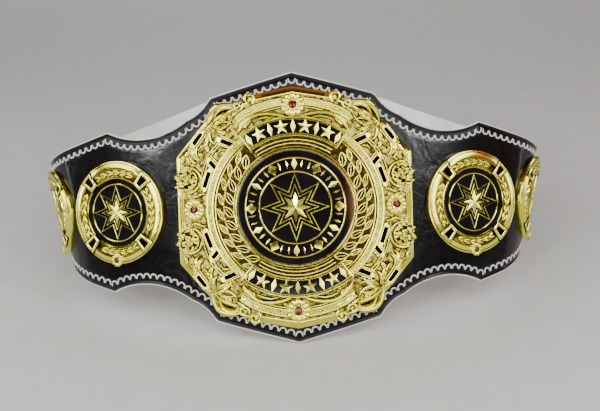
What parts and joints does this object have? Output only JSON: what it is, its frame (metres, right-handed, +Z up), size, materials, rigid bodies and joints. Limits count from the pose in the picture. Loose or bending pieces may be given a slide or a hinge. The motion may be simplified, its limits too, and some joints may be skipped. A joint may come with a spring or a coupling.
{
  "type": "championship belt",
  "caption": "Standing championship belt: a shaped, stamped black leather strap with a light lining, a large gilded front plate with scrollwork and smaller round plates along its sides",
  "frame": {"origin": "Middle of the bounding box seen from above, on the floor the belt stands on.", "axes": "+Z up. The front plate faces -Y and leans back; both tails run towards +Y. +X is to the right of somebody looking at the front plate. The belt is the same on both sides of the YZ plane."},
  "size_m": [0.5564, 0.544, 0.2512],
  "materials": {
    "leather": "black finished leather, satin gloss, stamped border",
    "lining": "light grey brushed lining",
    "gold": "cast metal, bright gold plating, darkened recesses",
    "enamel": "black enamel, glossy",
    "stone": "dark red cut stone",
    "fastener": "plain worn brass"
  },
  "bodies": {
    "root": {"strap": "leather", "lining": "lining", "main_plate": "gold", "centre_disc": "enamel", "centre_star": "gold", "top_banner": "enamel", "top_banner_row": "gold", "bottom_banner": "enamel", "bottom_banner_row": "gold", "gem_top": "stone", "gem_bottom": "stone", "gem_left": "stone", "gem_right": "stone", "side_plate_left": "gold", "side_disc_left": "enamel", "side_star_left": "gold", "side_gem_left": "stone", "side_plate_right": "gold", "side_disc_right": "enamel", "side_star_right": "gold", "side_gem_right": "stone", "end_plate_left": "gold", "end_disc_left": "enamel", "end_star_left": "gold", "end_gem_left": "stone", "end_plate_right": "gold", "end_disc_right": "enamel", "end_star_right": "gold", "end_gem_right": "stone", "main_post_1": "fastener", "main_post_2": "fastener", "main_post_3": "fastener", "main_post_4": "fastener", "side_post_left_upper": "fastener", "side_post_left_lower": "fastener", "side_post_right_upper": "fastener", "side_post_right_lower": "fastener", "end_post_left_upper": "fastener", "end_post_left_lower": "fastener", "end_post_right_upper": "fastener", "end_post_right_lower": "fastener", "snap_left_1": "fastener", "snap_left_2": "fastener", "snap_right_1": "fastener", "snap_right_2": "fastener"}
  },
  "joints": []
}
